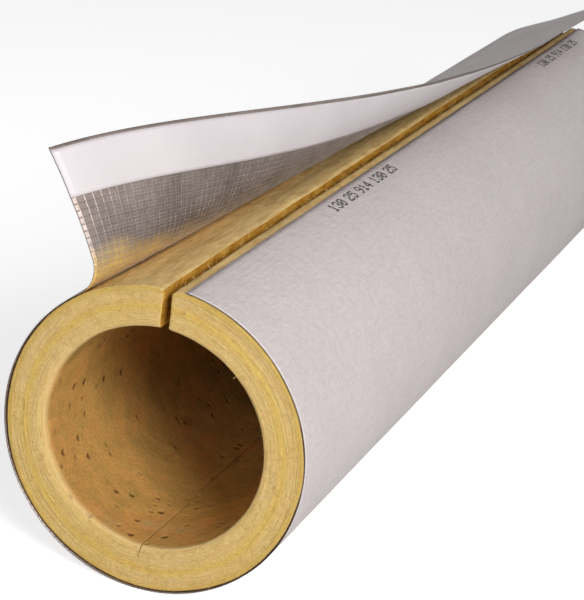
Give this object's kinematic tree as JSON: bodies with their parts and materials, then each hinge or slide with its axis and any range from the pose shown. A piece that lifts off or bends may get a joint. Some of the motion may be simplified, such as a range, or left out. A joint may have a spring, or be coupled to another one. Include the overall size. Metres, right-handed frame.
{
  "type": "fiberglass pipe insulation",
  "caption": "Hinged one-piece fiberglass pipe insulation section with a white paper-faced jacket, slit along the top, with its lap flap bent open.",
  "frame": {"origin": "centre of the bore at the near end face", "axes": "+Y runs along the tube to its far end, +Z points from the bore to the lengthwise slit, +X is the side where the jacket's glued edge lies"},
  "size_m": [0.182, 0.9144, 0.2532],
  "materials": {
    "glass_wool": "matte moulded yellow glass wool",
    "jacket": "matte white kraft paper outside, foil with a scrim mesh inside",
    "release_liner": "smooth white release paper"
  },
  "bodies": {
    "root": {"insulation": "glass_wool", "jacket": "jacket", "release_liner": "release_liner"}
  },
  "joints": []
}
